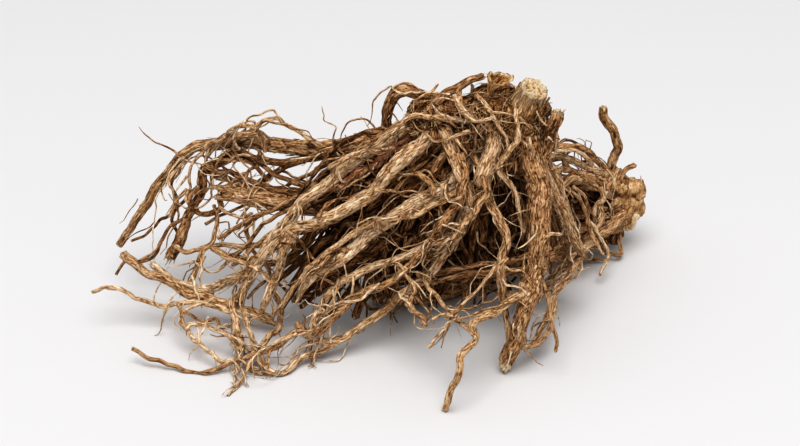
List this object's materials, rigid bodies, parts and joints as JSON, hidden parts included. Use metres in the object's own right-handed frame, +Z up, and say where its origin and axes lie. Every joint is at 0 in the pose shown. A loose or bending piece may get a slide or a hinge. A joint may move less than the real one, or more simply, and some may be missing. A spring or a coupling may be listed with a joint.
{
  "type": "valerian root",
  "caption": "Dried valerian root clump lying on its side: a shaggy crown with cut stem stubs, a smaller side crown, and long tangled roots fanning out and down.",
  "frame": {"origin": "on the surface that the clump lies on, under the middle of its outline", "axes": "+X from the tips of the long roots to the side crown, +Z up, -Y towards the front root tips"},
  "size_m": [0.2063, 0.1221, 0.0961],
  "materials": {
    "main_root_bark": "dull, dry, wrinkled root bark",
    "side_root_bark": "dull, dry, paler wrinkled root bark"
  },
  "bodies": {
    "root": {"main_crown_roots": "main_root_bark", "side_crown_roots": "side_root_bark"}
  },
  "joints": []
}
